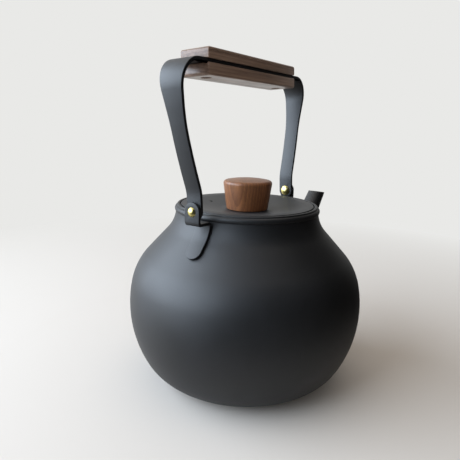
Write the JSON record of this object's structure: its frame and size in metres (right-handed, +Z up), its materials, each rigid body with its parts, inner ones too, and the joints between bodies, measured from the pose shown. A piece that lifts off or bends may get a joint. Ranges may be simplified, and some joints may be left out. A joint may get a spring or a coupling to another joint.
{
  "type": "cast iron teapot",
  "caption": "Bellied satin black iron teapot with a straight raised spout, a swinging strap handle with a walnut grip, and a lift-off lid with a walnut knob, for heating water and pouring tea.",
  "frame": {"origin": "centre of the flat base, on the pot's axis", "axes": "+Z up along the pot's axis, +X towards the spout, in the plane of the handle; +Y to the left of the spout"},
  "size_m": [0.2284, 0.1756, 0.2381],
  "materials": {
    "coated_iron": "satin black coating",
    "walnut": "satin oiled",
    "rivet_brass": "polished",
    "screw_steel": "satin"
  },
  "bodies": {
    "pot": {"pot_base": "coated_iron", "pot_foot": "coated_iron", "pot_belly": "coated_iron", "pot_shoulder": "coated_iron", "pot_neck": "coated_iron", "spout_tube": "coated_iron", "spout_ear": "coated_iron", "rear_ear": "coated_iron", "spout_side_rivet": "rivet_brass", "rear_rivet": "rivet_brass", "pivot_spacers": "rivet_brass"},
    "bail": {"bail_strap": "coated_iron", "grip_upper": "walnut", "grip_lower": "walnut", "grip_screws": "screw_steel"},
    "lid": {"lid_disc": "coated_iron", "lid_collar": "coated_iron", "lid_knob": "walnut", "knob_screw": "screw_steel", "knob_washer": "screw_steel"}
  },
  "joints": [
    {"name": "bail_swing", "type": "hinge", "parent": "pot", "child": "bail", "pos_m": [0, 0, 0.13766], "axis": [1, 0, 0], "range_deg": [-97.5, 104.5]},
    {"name": "lid_lift", "type": "slide", "parent": "pot", "child": "lid", "axis": [0, 0, 1], "range_m": [0, 0.055]}
  ]
}
